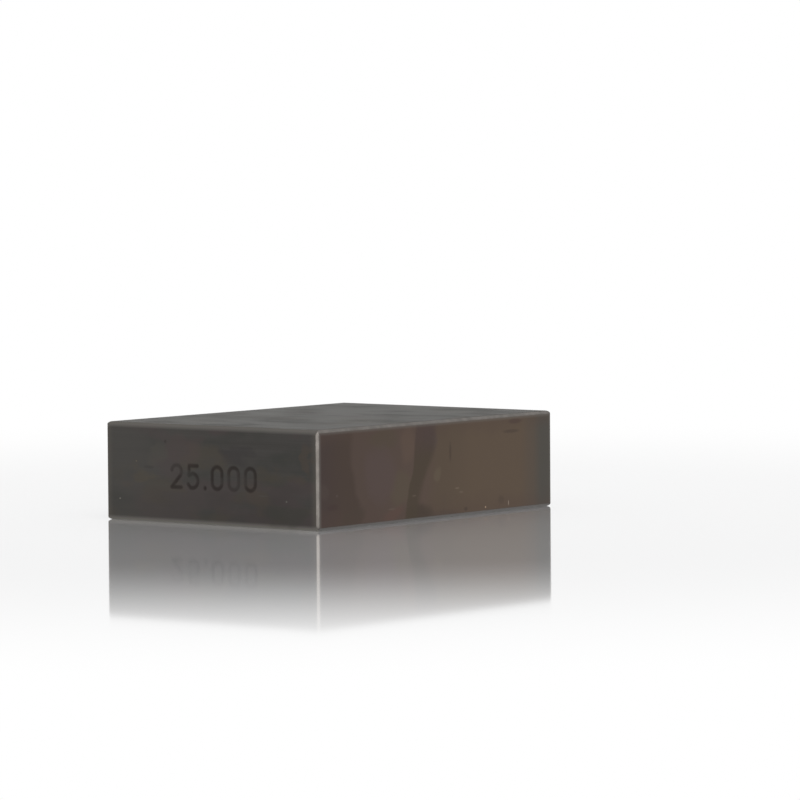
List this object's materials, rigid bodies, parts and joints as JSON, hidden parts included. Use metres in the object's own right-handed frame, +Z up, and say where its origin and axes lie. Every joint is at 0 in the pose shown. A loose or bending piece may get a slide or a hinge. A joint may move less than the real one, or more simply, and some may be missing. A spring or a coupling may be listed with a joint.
{
  "type": "gauge block",
  "caption": "Rectangular steel gauge block with two lapped, parallel measuring faces, ground sides, rounded long edges and bevelled face rims.",
  "frame": {"origin": "centre of the broad side that the block lies on", "axes": "+X along the nominal length, normal to the measuring faces; +Y along the wide way of the section; +Z up, through the thickness"},
  "size_m": [0.025, 0.035, 0.009],
  "materials": {
    "hardened_steel": "dark gauge steel: measuring faces lapped to a mirror, sides finely ground to a satin"
  },
  "bodies": {
    "root": {"gauge_block": "hardened_steel"}
  },
  "joints": []
}
